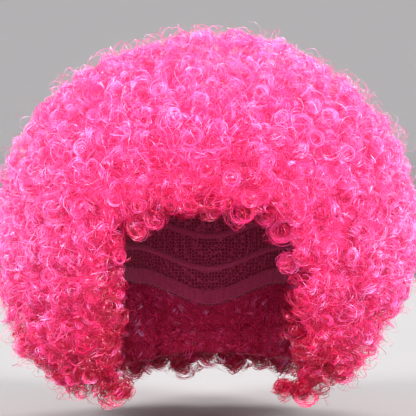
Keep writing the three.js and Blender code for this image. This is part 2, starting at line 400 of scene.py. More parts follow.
def open_ones(places, normals):
    """Which points have nothing close in front of them."""
    return np.array([
        solids.ray_cast(Vector(place + normal * RAY_START), Vector(normal), COVERED_WITHIN)[0] is None
        for place, normal in zip(places, normals)
    ])


def joined_ones(places, node):
    """Which points lie close to another piece of hair."""
    others = np.array([owner != node and owner in HAIR_NODES for owner in solid_owners])
    return np.array([
        any(others[face] for _, _, face, _ in solids.find_nearest_range(Vector(place), JOINED_WITHIN))
        for place in places
    ])


def sample(node):
    """Points all over a solid's faces, with their normals."""
    points, corners = triangles_of(frame["nodes"][node].data)
    a, b, c = (points[corners[:, i]] for i in range(3))
    crosses = np.cross(b - a, c - a)
    areas = np.linalg.norm(crosses, axis=1) / 2
    count = int(areas.sum() * SAMPLES_PER_M2)
    face = rng.choice(len(areas), count, p=areas / areas.sum())
    first, second = rng.random((2, count, 1))
    over = first + second > 1
    first, second = np.where(over, 1 - first, first), np.where(over, 1 - second, second)
    places = a[face] + first * (b - a)[face] + second * (c - a)[face]
    return places, unit(crosses)[face]


# The ball that the hair makes, from the box of its solids
hair_boxes = [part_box(node) for node in HAIR_NODES]
hair_low = np.min([low for low, high in hair_boxes], axis=0)
hair_high = np.max([high for low, high in hair_boxes], axis=0)
ball_reach = (hair_high - hair_low) / 2
ball_reach[2] = ball_reach[0]
ball_centre = (hair_high + hair_low) / 2
ball_centre[2] = hair_high[2] - ball_reach[2]


def ball_normals(places):
    return unit((places - ball_centre) / ball_reach ** 2)


def ball_heights(places):
    """How far out each point lies, as a share of the ball's own reach."""
    return np.linalg.norm((places - ball_centre) / ball_reach, axis=1)


def outer_ones(places, normals):
    """Which points lie far out and face outward."""
    facing = dots(normals, ball_normals(places))[:, 0] > OUTER_FACING
    return facing & (ball_heights(places) > OUTER_HEIGHT)


def spaced_out(places, spacing):
    """The numbers of points no nearer to each other than the spacing, taken in order."""
    taken, cells = [], {}
    keys = np.floor(places / spacing).astype(int)
    near = [(x, y, z) for x in (-1, 0, 1) for y in (-1, 0, 1) for z in (-1, 0, 1)]
    for index, (place, key) in enumerate(zip(places, keys)):
        around = [i for n in near for i in cells.get((key[0] + n[0], key[1] + n[1], key[2] + n[2]), ())]
        if around and np.min(np.linalg.norm(places[around] - place, axis=1)) < spacing:
            continue
        taken.append(index)
        cells.setdefault(tuple(key), []).append(index)
    return np.array(taken, int)


def lift_to_canopy(places, outer_places):
    """The points moved out to the height of the tips round them."""
    heights = ball_heights(outer_places)
    lifted = np.empty_like(places)
    for i, place in enumerate(places):
        away = np.linalg.norm(outer_places - place, axis=1)
        near = away < max(CANOPY_REACH, CANOPY_LEAST_REACH * away.min())
        lifted[i] = np.percentile(heights[near], CANOPY_SHARE)
    return ball_centre + (places - ball_centre) * lifted / ball_heights(places)[:, None]


# Strands: curved paths, then thin strips along them
def helices(curls, steps, wobble):
    """Paths of many curls at once, as strand, step and place, and the ways out from the curls' axes."""
    count = len(curls["radius"])
    share = np.linspace(0, 1, steps)
    axis = curls["axis"]
    side = unit(curls["side"] - axis * dots(curls["side"], axis))
    other = np.cross(axis, side)
    angle = curls["first"][:, None] + (curls["last"] - curls["first"])[:, None] * share
    reach = curls["radius"][:, None] * (COIL_WIDE - COIL_NARROWS * share)
    along_side = np.cos(angle)[..., None] * side[:, None]
    along_other = np.sin(angle)[..., None] * other[:, None]
    narrow = between(COIL_FLATTENED, (count, 1, 1))
    paths = curls["centre"][:, None] + (curls["rise"][:, None] * (share - 0.5))[..., None] * axis[:, None]
    paths += reach[..., None] * (along_side + narrow * along_other)
    for waves in SWAY_WAVES:
        sway = np.sin(2 * np.pi * (waves * share + rng.random((count, 1))))
        paths += wobble / waves * sway[..., None] * unit(rng.normal(size=(count, 1, 3)))
    return paths, along_side + along_other


def strips(paths, wide_ways, half_width, tint):
    """Thin strips along the paths, narrower towards their ends. The wide ways point across them."""
    count, steps = paths.shape[:2]
    along = unit(np.gradient(paths, axis=1))
    wide = unit(wide_ways - along * dots(wide_ways, along))
    share = np.linspace(0, 1, steps)
    taper = np.minimum(1, STRAND_END + STRAND_WIDENS * np.minimum(share, 1 - share))
    across = (half_width[:, None] * taper)[..., None] * wide
    points = np.stack([paths - across, paths + across], axis=2).reshape(-1, 3)
    number = np.arange(2 * count * steps).reshape(count, steps, 2)
    corners = [number[:, :-1, 1], number[:, :-1, 0], number[:, 1:, 0], number[:, 1:, 1]]
    values = {
        "tint": np.repeat(np.clip(tint, *TINT_LIMITS), 2, axis=1).ravel(),
        "along": np.broadcast_to(share[:, None], number.shape).ravel(),
    }
    return {"points": points, "faces": [np.stack(corners, axis=-1).reshape(-1, 4)], "values": values}


def make_mesh(name, parts):
    """One mesh from several parts, with the values that its material reads kept on its points."""
    mesh = bpy.data.meshes.new(name)
    starts = np.cumsum([0] + [len(part["points"]) for part in parts])
    points = np.concatenate([part["points"] for part in parts])
    faces = [face + start for part, start in zip(parts, starts) for face in part["faces"]]
    corners = np.concatenate([face.ravel() for face in faces])
    sizes = np.concatenate([np.full(len(face), face.shape[1]) for face in faces])
    mesh.vertices.add(len(points))
    mesh.vertices.foreach_set("co", points.astype(np.float32).ravel())
    mesh.loops.add(len(corners))
    mesh.loops.foreach_set("vertex_index", corners.astype(np.int32))
    mesh.polygons.add(len(sizes))
    mesh.polygons.foreach_set("loop_start", np.concatenate([[0], np.cumsum(sizes)[:-1]]).astype(np.int32))
    values = {key: np.concatenate([part["values"][key] for part in parts]) for key in parts[0]["values"]}
    for key, value in values.items():
        mesh.attributes.new(key, "FLOAT", "POINT").data.foreach_set("value", value.astype(np.float32))
    if "tint" in values:
        spread = rng.uniform(-UV_SPREAD, UV_SPREAD, (len(points), 2))
        places = np.clip(np.stack([values["tint"], values["along"]], axis=1) + spread, *UV_LIMITS)
        mesh.uv_layers.new(name="OFBake").uv.foreach_set("vector", places[corners].astype(np.float32).ravel())
    mesh.update(calc_edges=True)
    return mesh


def add_object(name, mesh, material):
    made = bpy.data.objects.new(name, mesh)
    bpy.context.scene.collection.objects.link(made)
    mesh.materials.append(material)
    return made


def add_piece(name, parts, material, node=None):
    piece = add_object(name, make_mesh(name, parts), material)
    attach(piece, "root")
    if node:
        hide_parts(node)


# Materials
SHADER_SOCKETS = {
    "roughness": "Roughness",
    "specular": "Specular IOR Level",
    "sheen": "Sheen Weight",
    "gloss_tint": "Specular Tint",
}


def new_material(name):
    material = bpy.data.materials.new(name)
    material.use_nodes = True
    tree = material.node_tree
    return material, tree, tree.nodes["Principled BSDF"]


def add_node(tree, kind, inputs=None, **values):
    node = tree.nodes.new(kind)
    for key, value in values.items():
        setattr(node, key, value)
    for key, value in (inputs or {}).items():
        node.inputs[key].default_value = value
    return node


def ramp(tree, stops):
    node = add_node(tree, "ShaderNodeValToRGB")
    elements = node.color_ramp.elements
    while len(elements) < len(stops):
        elements.new(0.5)
    for element, (place, colour) in zip(elements, stops):
        element.position = place
        element.color = (*colour, 1)
    return node


def set_shader(shader, **values):
    for key, value in values.items():
        shader.inputs[SHADER_SOCKETS[key]].default_value = value


def hair_material():
    """Satin fibre. Each strand has its own tint, from deep crimson to pale pink, which holds random tone
    together with painted shade and painted highlights.
    """
    material, tree, shader = new_material("pink_fibre")
    link = tree.links.new
    tint = add_node(tree, "ShaderNodeAttribute", attribute_name="tint")
    colours = ramp(tree, HAIR_COLOURS)
    link(tint.outputs["Fac"], colours.inputs["Fac"])
    link(colours.outputs["Color"], shader.inputs["Base Color"])
    set_shader(shader, roughness=0.35, specular=0.92, gloss_tint=(1, 0.73, 0.98, 1))
    return material


def under_material():
    """Dense curled hair: fine rings round many middles, pulled about so that they run into each other, deeper
    towards the bottom as painted shade.
    """
    material, tree, shader = new_material("pink_under_hair")
    link = tree.links.new
    where = add_node(tree, "ShaderNodeTexCoord")
    pull = add_node(tree, "ShaderNodeTexNoise", {"Scale": 160, "Detail": 2.0})
    link(where.outputs["Object"], pull.inputs["Vector"])
    moved = add_node(tree, "ShaderNodeVectorMath", operation="MULTIPLY_ADD")
    moved.inputs[1].default_value = (UNDER_PULL, UNDER_PULL, UNDER_PULL)
    link(pull.outputs["Color"], moved.inputs[0])
    link(where.outputs["Object"], moved.inputs[2])
    cells = add_node(tree, "ShaderNodeTexVoronoi", {"Scale": 85})
    link(moved.outputs["Vector"], cells.inputs["Vector"])
    rings = add_node(tree, "ShaderNodeMath", operation="SINE")
    turns = add_node(tree, "ShaderNodeMath", operation="MULTIPLY")
    turns.inputs[1].default_value = UNDER_RINGS
    link(cells.outputs["Distance"], turns.inputs[0])
    link(turns.outputs["Value"], rings.inputs[0])
    share = add_node(tree, "ShaderNodeMapRange", {"From Min": -1.0, "From Max": 1.0})
    link(rings.outputs["Value"], share.inputs["Value"])
    place = add_node(tree, "ShaderNodeSeparateXYZ")
    link(where.outputs["Object"], place.inputs["Vector"])
    # Painted shade: the colour deepens from the top's towards the low colours by height
    limits = {"From Min": float(hair_low[2]), "From Max": float(hair_high[2])}
    height = add_node(tree, "ShaderNodeMapRange", limits)
    link(place.outputs["Z"], height.inputs["Value"])
    mixed = add_node(tree, "ShaderNodeMix", data_type="RGBA")
    link(height.outputs["Result"], mixed.inputs["Factor"])
    for stops, socket in ((UNDER_SHADED_LOW_COLOURS, "A"), (UNDER_LIT_TOP_COLOURS, "B")):
        colours = ramp(tree, stops)
        link(share.outputs["Result"], colours.inputs["Fac"])
        link(colours.outputs["Color"], [i for i in mixed.inputs if i.name == socket and i.type == "RGBA"][0])
    result = [o for o in mixed.outputs if o.type == "RGBA"][0]
    link(result, shader.inputs["Base Color"])
    bump = add_node(tree, "ShaderNodeBump", {"Strength": 0.6, "Distance": 0.0012})
    link(share.outputs["Result"], bump.inputs["Height"])
    link(bump.outputs["Normal"], shader.inputs["Normal"])
    set_shader(shader, roughness=0.5, specular=0.3, gloss_tint=(1, 0.72, 0.95, 1))
    return material


def net_material():
    """Threads round small open cells, which lie darker: painted shade in the holes."""
    material, tree, shader = new_material("stretch_net")
    link = tree.links.new
    where = add_node(tree, "ShaderNodeTexCoord")
    even_cells = {"Scale": 380, "Randomness": 0.5}
    cells = add_node(tree, "ShaderNodeTexVoronoi", even_cells, feature="DISTANCE_TO_EDGE")
    link(where.outputs["Object"], cells.inputs["Vector"])
    colours = ramp(tree, NET_COLOURS)
    link(cells.outputs["Distance"], colours.inputs["Fac"])
    link(colours.outputs["Color"], shader.inputs["Base Color"])
    bump = add_node(tree, "ShaderNodeBump", {"Strength": 0.7, "Distance": 0.0006}, invert=True)
    link(cells.outputs["Distance"], bump.inputs["Height"])
    link(bump.outputs["Normal"], shader.inputs["Normal"])
    set_shader(shader, roughness=0.75, specular=0.25, sheen=0.2)
    return material


def woven_material(name, stops, scale):
    """Fine threads, lighter where they lie proud and darker between them: painted light and shade."""
    material, tree, shader = new_material(name)
    link = tree.links.new
    where = add_node(tree, "ShaderNodeTexCoord")
    noise = add_node(tree, "ShaderNodeTexNoise", {"Scale": scale, "Detail": 4.0, "Roughness": 0.6})
    link(where.outputs["Object"], noise.inputs["Vector"])
    colours = ramp(tree, stops)
    link(noise.outputs["Fac"], colours.inputs["Fac"])
    link(colours.outputs["Color"], shader.inputs["Base Color"])
    bump = add_node(tree, "ShaderNodeBump", {"Strength": 0.5, "Distance": 0.0004})
    link(noise.outputs["Fac"], bump.inputs["Height"])
    link(bump.outputs["Normal"], shader.inputs["Normal"])
    set_shader(shader, roughness=0.7, specular=0.3, sheen=0.3)
    return material


def paper_material(floor_z):
    """Plain paper, paler up the wall, which less light reaches."""
    material, tree, shader = new_material("pale_paper")
    where = add_node(tree, "ShaderNodeTexCoord")
    place = add_node(tree, "ShaderNodeSeparateXYZ")
    tree.links.new(where.outputs["Object"], place.inputs["Vector"])
    height = add_node(tree, "ShaderNodeMapRange", {"From Min": floor_z, "From Max": floor_z + PAPER_RISE})
    tree.links.new(place.outputs["Z"], height.inputs["Value"])
    colours = ramp(tree, PAPER_COLOURS)
    tree.links.new(height.outputs["Result"], colours.inputs["Fac"])
    tree.links.new(colours.outputs["Color"], shader.inputs["Base Color"])
    set_shader(shader, roughness=0.9)
    return material


# The cap and its band
def rim_drop(azimuth):
    side = np.abs((azimuth + 180) % 360 - 180)
    places, drops = np.array(RIM, float).T
    after = np.clip(np.searchsorted(places, side), 1, len(places) - 1)
    share = (side - places[after - 1]) / (places[after] - places[after - 1])
    return drops[after - 1] + (drops[after] - drops[after - 1]) * eased(share)


def rim_polar(azimuth):
    return np.degrees(np.arccos(1 - rim_drop(azimuth) / HEAD[2]))


def band_polar(azimuth):
    return rim_polar(azimuth) - math.degrees(BAND_HEIGHT / HEAD[2])


def cap_points(azimuth, polar, offset):
    """Places on the cap, in metres. Azimuth 0 is at the face and 90 at the wearer's left."""
    across = np.sin(np.radians(polar))
    turn = np.radians(azimuth)
    out = np.stack([across * np.sin(turn), -across * np.cos(turn), np.cos(np.radians(polar))], axis=-1)
    reach = HEAD + np.asarray(offset)[..., None]
    return (out * reach - [0, 0, HEAD[2]]) * MM


def grid_faces(rows, columns, closed):
    """Quads of a grid that closes sideways, and from its last row to its first where it is closed."""
    number = np.arange(rows * columns).reshape(rows, columns)
    lower = np.roll(number, -1, axis=0)
    if not closed:
        number, lower = number[:-1], lower[:-1]
    quads = np.stack([number, np.roll(number, -1, axis=1), np.roll(lower, -1, axis=1), lower], axis=-1)
    return quads.reshape(-1, 4)[:, ::-1]


def band_of(rows, sectors):
    """A closed band round the cap. Each row gives polar angles and offsets for the sectors' azimuths."""
    azimuth = np.arange(sectors) * 360 / sectors
    points = np.concatenate([cap_points(azimuth, *row(azimuth)) for row in rows])
    return {"points": points, "faces": [grid_faces(len(rows), sectors, True)], "values": {}}


def make_cap():
    """The net: a thin wall with the head's form, closed on top and open below."""
    azimuth = np.arange(CAP_SECTORS) * 360 / CAP_SECTORS
    shares = np.linspace(CAP_FIRST_SHARE, 1, CAP_STEPS)
    walls = [(share, CAP_WALL) for share in shares] + [(share, 0.0) for share in shares[::-1]]
    points = np.concatenate([
        cap_points(azimuth, rim_polar(azimuth) * share, np.full(CAP_SECTORS, offset))
        for share, offset in walls
    ])
    number = np.arange(len(points)).reshape(-1, CAP_SECTORS)
    faces = [grid_faces(len(walls), CAP_SECTORS, False), number[:1], number[-1:, ::-1]]
    cloth = {"points": points, "faces": faces, "values": {}}
    add_piece("cap_net_cloth", [cloth], net_material(), "cap_net")


def make_seams():
    """Tapes round the inside of the cap, each with a zigzag of stitches."""
    reach = SEAM_HALF_WIDTH / HEAD[2]
    outer, inner = SEAM_OUTSIDE, -SEAM_THICKNESS
    corners = [(-reach, outer), (-reach, inner), (reach, inner), (reach, outer)]
    zigzag = np.arange(2 * STITCHES_TO_A_SEAM)
    turn = zigzag * 360 / len(zigzag)
    wide = np.array([[[0.0, 0.0, 1.0]]])
    seams = []
    for share in SEAM_SHARES:
        rows = [
            lambda a, s=share, c=corner: (band_polar(a) * s + math.degrees(c[0]), np.full(len(a), c[1]))
            for corner in corners
        ]
        seams.append(band_of(rows, CAP_SECTORS))
        polar = band_polar(turn) * share + np.where(zigzag % 2, 1, -1) * math.degrees(STITCH_REACH * reach)
        path = cap_points(turn, polar, np.full(len(turn), inner - STITCH_PROUD))
        stitch = strips(path[None], wide, np.array([STITCH_HALF_WIDTH * MM]), np.zeros((1, len(path))))
        seams.append({"points": stitch["points"], "faces": stitch["faces"], "values": {}})
    add_piece("cap_seams", seams, woven_material("seam_tape", TAPE_COLOURS, TAPE_WEAVE))


def make_band():
    """The elastic inside the rim, with ribs along it and small gathers across it."""
    def row(share, offset):
        def angles(azimuth):
            gathers = BAND_GATHER_DEPTH * np.sin(np.radians(azimuth) * BAND_GATHERS)
            start = band_polar(azimuth)
            return start + (rim_polar(azimuth) - start) * share, offset + gathers
        return angles

    inside = BAND_OUTSIDE - BAND_THICKNESS
    ribs = np.linspace(0, 1, 2 * BAND_RIBS + 1)
    rows = [row(share, inside + (BAND_RIB_DEPTH if i % 2 else 0.0)) for i, share in enumerate(ribs)]
    outside = BAND_OUTSIDE - BAND_GATHER_ROOM
    rows += [row(1.0, outside), row(0.0, outside)]
    material = woven_material("ribbed_elastic", BAND_COLOURS, BAND_WEAVE)
    add_piece("edge_band_elastic", [band_of(rows, BAND_SECTORS)], material, "edge_band")


# Hair pieces
def under_mass(node, outer_places):
    """The dense hair under the curls: the solid's own form, smoothed and drawn in from its open faces."""
    copy = bpy.data.objects.new("under", frame["nodes"][node].data.copy())
    bpy.context.scene.collection.objects.link(copy)
    remesh = copy.modifiers.new("even", "REMESH")
    remesh.mode = "VOXEL"
    remesh.voxel_size = UNDER_VOXEL
    smooth = copy.modifiers.new("soft", "SMOOTH")
    smooth.factor = UNDER_SOFTNESS
    smooth.iterations = UNDER_SOFT_ROUNDS
    evaluated = copy.evaluated_get(bpy.context.evaluated_depsgraph_get())
    mesh = bpy.data.meshes.new_from_object(evaluated)
    points, corners = triangles_of(mesh)
    normals = np.empty(points.size, np.float32)
    mesh.vertices.foreach_get("normal", normals)
    normals = normals.reshape(-1, 3).astype(float)
    bpy.data.objects.remove(copy)
    bpy.data.meshes.remove(mesh)

    outward = ball_normals(points)
    outer = np.clip((ball_heights(points) - UNDER_OUTER_START) / UNDER_OUTER_REACH, 0, 1)[:, None]
    facing = np.clip(dots(normals, outward) * UNDER_FACING, 0, 1) * outer
    joined = joined_ones(points, node)[:, None]
    edges = open_ones(points, normals)[:, None] * (1 - facing) * (1 - joined)
    evened = lift_to_canopy(points, outer_places) - points
    sideways = normals - outward * dots(normals, outward)
    points = points + evened * facing * UNDER_EVENED - outward * facing * UNDER_DEPTH
    points += sideways * joined * UNDER_JOIN - normals * edges * UNDER_EDGE_DEPTH
    cap_centre = np.array([0, 0, -HEAD[2]]) * MM
    inside = np.linalg.norm((points - cap_centre) / ((HEAD + CAP_WALL + UNDER_OFF_CAP) * MM), axis=1)
    points = cap_centre + (points - cap_centre) / np.minimum(inside, 1)[:, None]
    return {"points": points, "faces": [corners], "values": {}}


def tints(middle, spread):
    return np.clip(middle + rng.normal(0, spread, np.shape(middle)), *TINT_LIMITS)


def shaded_base_tint(places):
    """The strands' tint by place, with painted shade: deeper towards the lower edge, in the fringe and beside
    the face.
    """
    height = ball_normals(places)[:, 2]
    tint = TINT_MIDDLE + np.where(height > 0, PAINTED_SHADE_ABOVE * height ** 2, PAINTED_SHADE_BELOW * height)
    # Painted shadow in the fringe and beside the face
    for shadow_place in PAINTED_SHADOW_PLACES:
        away = np.linalg.norm((places / MM - shadow_place["place"]) / shadow_place["spread"], axis=1)
        tint = tint - shadow_place["deeper"] * np.exp(-away * away)
    return tint


def biased(limits, bias, count):
    """Random values between the limits, the more of them near the first limit the larger the bias."""
    return limits[0] + (limits[1] - limits[0]) * rng.random(count) ** bias


def ring_curls(surface, normals):
    """Curls seen from their end. They turn round an axis that leans a little away from straight out."""
    count = len(surface)
    axis = unit(normals + rng.uniform(0, 1, (count, 1)) * random_tangents(normals))
    rise = between(RING_RISE, count)
    sunk = between(RING_SUNK, count)
    first = rng.uniform(0, 2 * np.pi, count)
    return {
        "surface": surface,
        "normal": normals,
        "centre": surface - normals * (sunk + rise / 2)[:, None],
        "axis": axis,
        "side": random_tangents(axis),
        "radius": biased(CURL_RADIUS, CURL_RADIUS_BIAS, count),
        "rise": rise,
        "first": first,
        "last": first + 2 * np.pi * between(RING_TURNS, count),
        "flare": between(RING_FLARE, count),
        "tint": tints(shaded_base_tint(surface), CURL_TINT_SPREAD),
        "crest": rng.random(count),
    }


def hoop_curls(surface, normals, sunk_limits):
    """Curls seen from the side: arches that come out of the hair and go back in."""
    count = len(surface)
    radius = biased(CURL_RADIUS, CURL_RADIUS_BIAS, count)
    sunk = between(sunk_limits, count)
    half = np.pi * between(HOOP_TURNS, count)
    middle = rng.normal(0, HOOP_TURN_SPREAD, count)
    return {
        "surface": surface,
        "normal": normals,
        "centre": surface - normals * (radius + sunk)[:, None],
        "axis": unit(random_tangents(normals) + rng.normal(0, HOOP_LEAN, (count, 1)) * normals),
        "side": normals,
        "radius": radius,
        "rise": between(HOOP_RISE, count),
        "first": middle - half,
        "last": middle + half,
        "flare": rng.normal(0, HOOP_FLARE, count),
        "tint": tints(shaded_base_tint(surface), CURL_TINT_SPREAD),
        "crest": between(HOOP_CREST, count),
    }


def mixed_curls(seeds, normals, painted_light_shade):
    """Rings and hoops at the seeds, as chance has it, with the given painted light added to their tint, which
    is painted shade where it is below zero.
    """
    is_ring = rng.random(len(seeds)) < RING_SHARE
    rings = ring_curls(seeds[is_ring], normals[is_ring])
    hoops = hoop_curls(seeds[~is_ring], normals[~is_ring], HOOP_SUNK)
    rings["tint"] = rings["tint"] + painted_light_shade[is_ring]
    hoops["tint"] = hoops["tint"] + painted_light_shade[~is_ring]
    return [bundle(rings, RING_STRANDS, RING_STEPS), bundle(hoops, HOOP_STRANDS, HOOP_STEPS)]


def clear_rings(places, outward, radius, strands):
    """Rings that lie on top of the curls round them, paler as painted light."""
    rings = ring_curls(places, outward)
    rings["centre"] = places
    rings["radius"] = radius
    rings["last"] = rings["first"] + 2 * np.pi * CLEAR_TURNS
    rings["tint"] = rings["tint"] + CLEAR_PAINTED_LIGHT
    return bundle(rings, strands, CLEAR_STEPS)


def lump_curls(rows):
    """Curls all round each lump, a few more inside it, and one clear ring on its front."""
    number = np.arange(LUMP_CURLS)
    height = 1 - 2 * (number + 0.5) / LUMP_CURLS
    across = np.sqrt(1 - height ** 2)
    turn = number * GOLDEN_TURN
    ways = np.stack([across * np.cos(turn), across * np.sin(turn), height], axis=1)
    reach = np.where(number % (LUMP_CURLS // LUMP_CORE_CURLS), 1.0, LUMP_CORE)[:, None]
    rows = np.array(rows, float) * MM
    seeds = (rows[:, None, :3] + rows[:, None, 3:] * (ways * reach)[None]).reshape(-1, 3)
    parts = mixed_curls(seeds, np.tile(ways, (len(rows), 1)), np.full(len(seeds), LUMP_PAINTED_SHADE))
    front = ball_normals(rows[:, :3])
    places = rows[:, :3] + front * rows[:, 3:] * LUMP_RING_OUT
    return parts + [clear_rings(places, front, rows[:, 3] * LUMP_RING_REACH, LUMP_RING_STRANDS)]


def in_space(rows):
    """Places, ways along and ways inward in space, from their x and z seen from the front."""
    found = np.zeros((3, len(rows), 3))
    found[:, :, 0] = rows[:, 0::2].T
    found[:, :, 2] = rows[:, 1::2].T
    return found


def opening_edges():
    """The face opening's edge seen from the front: up one side, over the top and down the other.

    Its edge is a little nearer to the middle on the wearer's left.
    """
    half, top, corner, low = (FACE[key] for key in ("half_width", "top", "corner", "low"))
    wall = [(half, z, 0, 1, -1, 0) for z in np.arange(low, top - corner, ROLL_SPACING)]
    for turn in np.arange(0, np.pi / 2, ROLL_SPACING / corner):
        across, up = math.cos(turn), math.sin(turn)
        wall.append((half + corner * (across - 1), top + corner * (up - 1), -up, across, -across, -up))
    right = np.array(wall)
    left = right[::-1] * [-1, 1, -1, 1, -1, 1]
    across_top = np.arange(half - corner, corner - half, -ROLL_SPACING)
    middle = np.array([(x, top, -1, 0, 0, -1) for x in across_top])
    edges = in_space(np.concatenate([right, middle, left]))
    edges[0, :, 0] *= np.where(edges[0, :, 0] > 0, FACE["left_share"], 1)
    return edges


def lower_rim():
    """Places under the hair's lower edge, round the back from one side of the face to the other."""
    step = math.degrees(ROLL_SPACING / LOWER_RIM["reach"])
    turn = np.radians(np.arange(LOWER_RIM["first"], LOWER_RIM["last"], step))
    out = np.stack([np.sin(turn), -np.cos(turn), np.zeros(len(turn))], axis=1)
    along = np.stack([np.cos(turn), np.sin(turn), np.zeros(len(turn))], axis=1)
    places = np.broadcast_to([0, ball_centre[1] / MM, LOWER_RIM["z"]], out.shape)
    return places, along, np.broadcast_to([0.0, 0.0, -1.0], out.shape), out


def clump_domes(count):
    """How far out of its clump's middle each step along an edge lies, and the clump's rise there."""
    middles = np.cumsum(between(ROLL_CLUMPS, int(count * ROLL_SPACING / ROLL_CLUMPS[0]) + 2))
    apart = (np.arange(count) * ROLL_SPACING)[:, None] - middles
    aside = apart[np.arange(count), np.argmin(np.abs(apart), axis=1)] / ROLL_CLUMP_REACH
    return aside, np.clip(1 - aside ** 2, ROLL_CLUMP_DIP, 1) * ROLL_CLUMP_RISE


def roll_seeds(places, along, inward, outward, least_inset, bridges):
    """Seeds of the curls that roll round an edge, for each piece of hair that carries some.

    Where it bridges, notches between locks get curls as well, as far out as the lock before them.
    """
    inset = between(ROLL_INSET, len(places))
    asides, rises = clump_domes(len(places))
    seeds, last = {}, None
    steps = zip(places, along, inward, outward, inset, asides, rises)
    for place, way, into, out, depth, aside, rise in steps:
        start = (place - into * max(depth, least_inset) + out * FAR_OUT) * MM
        hit, _, face, _ = solids.ray_cast(Vector(start), Vector(-out))
        if hit is not None and (np.array(hit) - ball_centre) @ out > 0 and solid_owners[face] in HAIR_NODES:
            last = face, (start - np.array(hit)) @ out
        elif not bridges or last is None:
            continue
        face, away = last
        hit = start - out * away
        share = (ROLL_INSET[1] - depth) / (ROLL_INSET[1] - ROLL_INSET[0])
        lower = into * (max(depth, least_inset) - depth) - out * rng.uniform(0, 1) * share * ROLL_DEPTH
        normal = unit(ball_normals(hit) * (ROLL_OUTWARD - share) + into * share)
        surface = hit + (lower + normal * rise) * MM
        seeds.setdefault(solid_owners[face], []).append((surface, unit(normal + way * aside)))
    return {node: [np.array(rows) for rows in zip(*found)] for node, found in seeds.items()}


def bundle(curls, strands, steps):
    """Strands close beside each other along each curl, with painted shade where they run below the surface,
    painted light where they stand out, and painted highlights on some crests.
    """
    many = {key: np.repeat(value, strands, axis=0) for key, value in curls.items()}
    count = len(many["radius"])
    many["centre"] = many["centre"] + many["axis"] * rng.uniform(-1, 1, (count, 1)) * STRAY_ALONG
    many["centre"] = many["centre"] + rng.normal(0, STRAY_ASIDE, (count, 3))
    many["axis"] = unit(many["axis"] + rng.normal(0, STRAY_LEAN, (count, 3)))
    many["radius"] = many["radius"] * between(STRAY_RADIUS, count)
    many["first"] = many["first"] + rng.normal(0, STRAY_TURN, count)
    many["last"] = many["last"] + rng.normal(0, STRAY_TURN, count)
    paths, outward = helices(many, steps, STRAY_WOBBLE)
    wide = many["axis"][:, None] + outward * many["flare"][:, None, None]
    heights = dots(paths - many["surface"][:, None], many["normal"][:, None])[..., 0]
    tint = tints(many["tint"], STRAND_TINT_SPREAD)[:, None]
    # Painted shade where a strand runs below the surface, more on hair that faces down, and painted light
    # where it stands out
    facing_up = ball_normals(many["surface"])[:, 2:]
    shade_by_depth = np.interp(facing_up, PAINTED_SHADE_BY_DEPTH["facing_up"], PAINTED_SHADE_BY_DEPTH["deeper"])
    tint = tint + shade_by_depth * np.clip(heights / PAINTED_SHADE_DEPTH, -1, PAINTED_LIGHT_STANDING)
    # Painted highlights: pale patches round the crests of some curls, fainter on top
    highlighted_curls = rng.random(len(curls["radius"])) < PAINTED_HIGHLIGHT_SHARE
    painted_highlight = np.repeat(np.where(highlighted_curls, between(PAINTED_HIGHLIGHT_TINT, len(highlighted_curls)), 0), strands)
    painted_highlight = painted_highlight[:, None] * np.interp(facing_up, (0, 1), (1, PAINTED_HIGHLIGHT_ON_TOP))
    apart = np.arange(steps) - np.round(many["crest"] * (steps - 1))[:, None]
    tint = tint + (1 - tint) * painted_highlight * np.exp(-(apart * PAINTED_HIGHLIGHT_FADE) ** 2)
    return strips(paths, wide, biased(STRAND_HALF_WIDTH, STRAND_WIDTH_BIAS, count), tint)


def fibres(surface, count, kind):
    """Single fibres in open arcs, which stand between the curls or off the outline."""
    picked = surface[rng.choice(len(surface), count, replace=False)]
    normals = ball_normals(picked)
    radius = between(kind["radius"], count)
    half = np.pi * between(kind["turns"], count)
    middle = rng.normal(0, FIBRE_TURN_SPREAD, count)
    stand = between(kind["stand"], count)
    arcs = {
        "centre": picked + normals * (stand - radius)[:, None],
        "axis": unit(random_tangents(normals) + rng.normal(0, FIBRE_LEAN, (count, 1)) * normals),
        "side": normals,
        "radius": radius,
        "rise": between(FIBRE_RISE, count),
        "first": middle - half,
        "last": middle + half,
    }
    paths, outward = helices(arcs, kind["steps"], FIBRE_WOBBLE)
    wide = arcs["axis"][:, None] + outward * rng.normal(0, 1, (count, 1, 1))
    tint = tints(shaded_base_tint(picked) + FIBRE_TINT, FIBRE_TINT_SPREAD)
    tint = np.repeat(tint[:, None], kind["steps"], axis=1)
    return strips(paths, wide, between(FIBRE_HALF_WIDTH, count), tint)


def edge_curls(places, normals):
    """Curls on the open faces away from the outer surface: the opening's walls and the lower edge, deeper in
    tint as painted shade.
    """
    picked = spaced_out(places, EDGE_SPACING)
    picked = picked[open_ones(places[picked], normals[picked])]
    if not len(picked):
        return []
    places, normals = places[picked], normals[picked]
    curls = hoop_curls(places, normals, EDGE_SUNK)
    curls["tint"] = curls["tint"] - EDGE_PAINTED_SHADE
    return [bundle(curls, HOOP_STRANDS, HOOP_STEPS)]


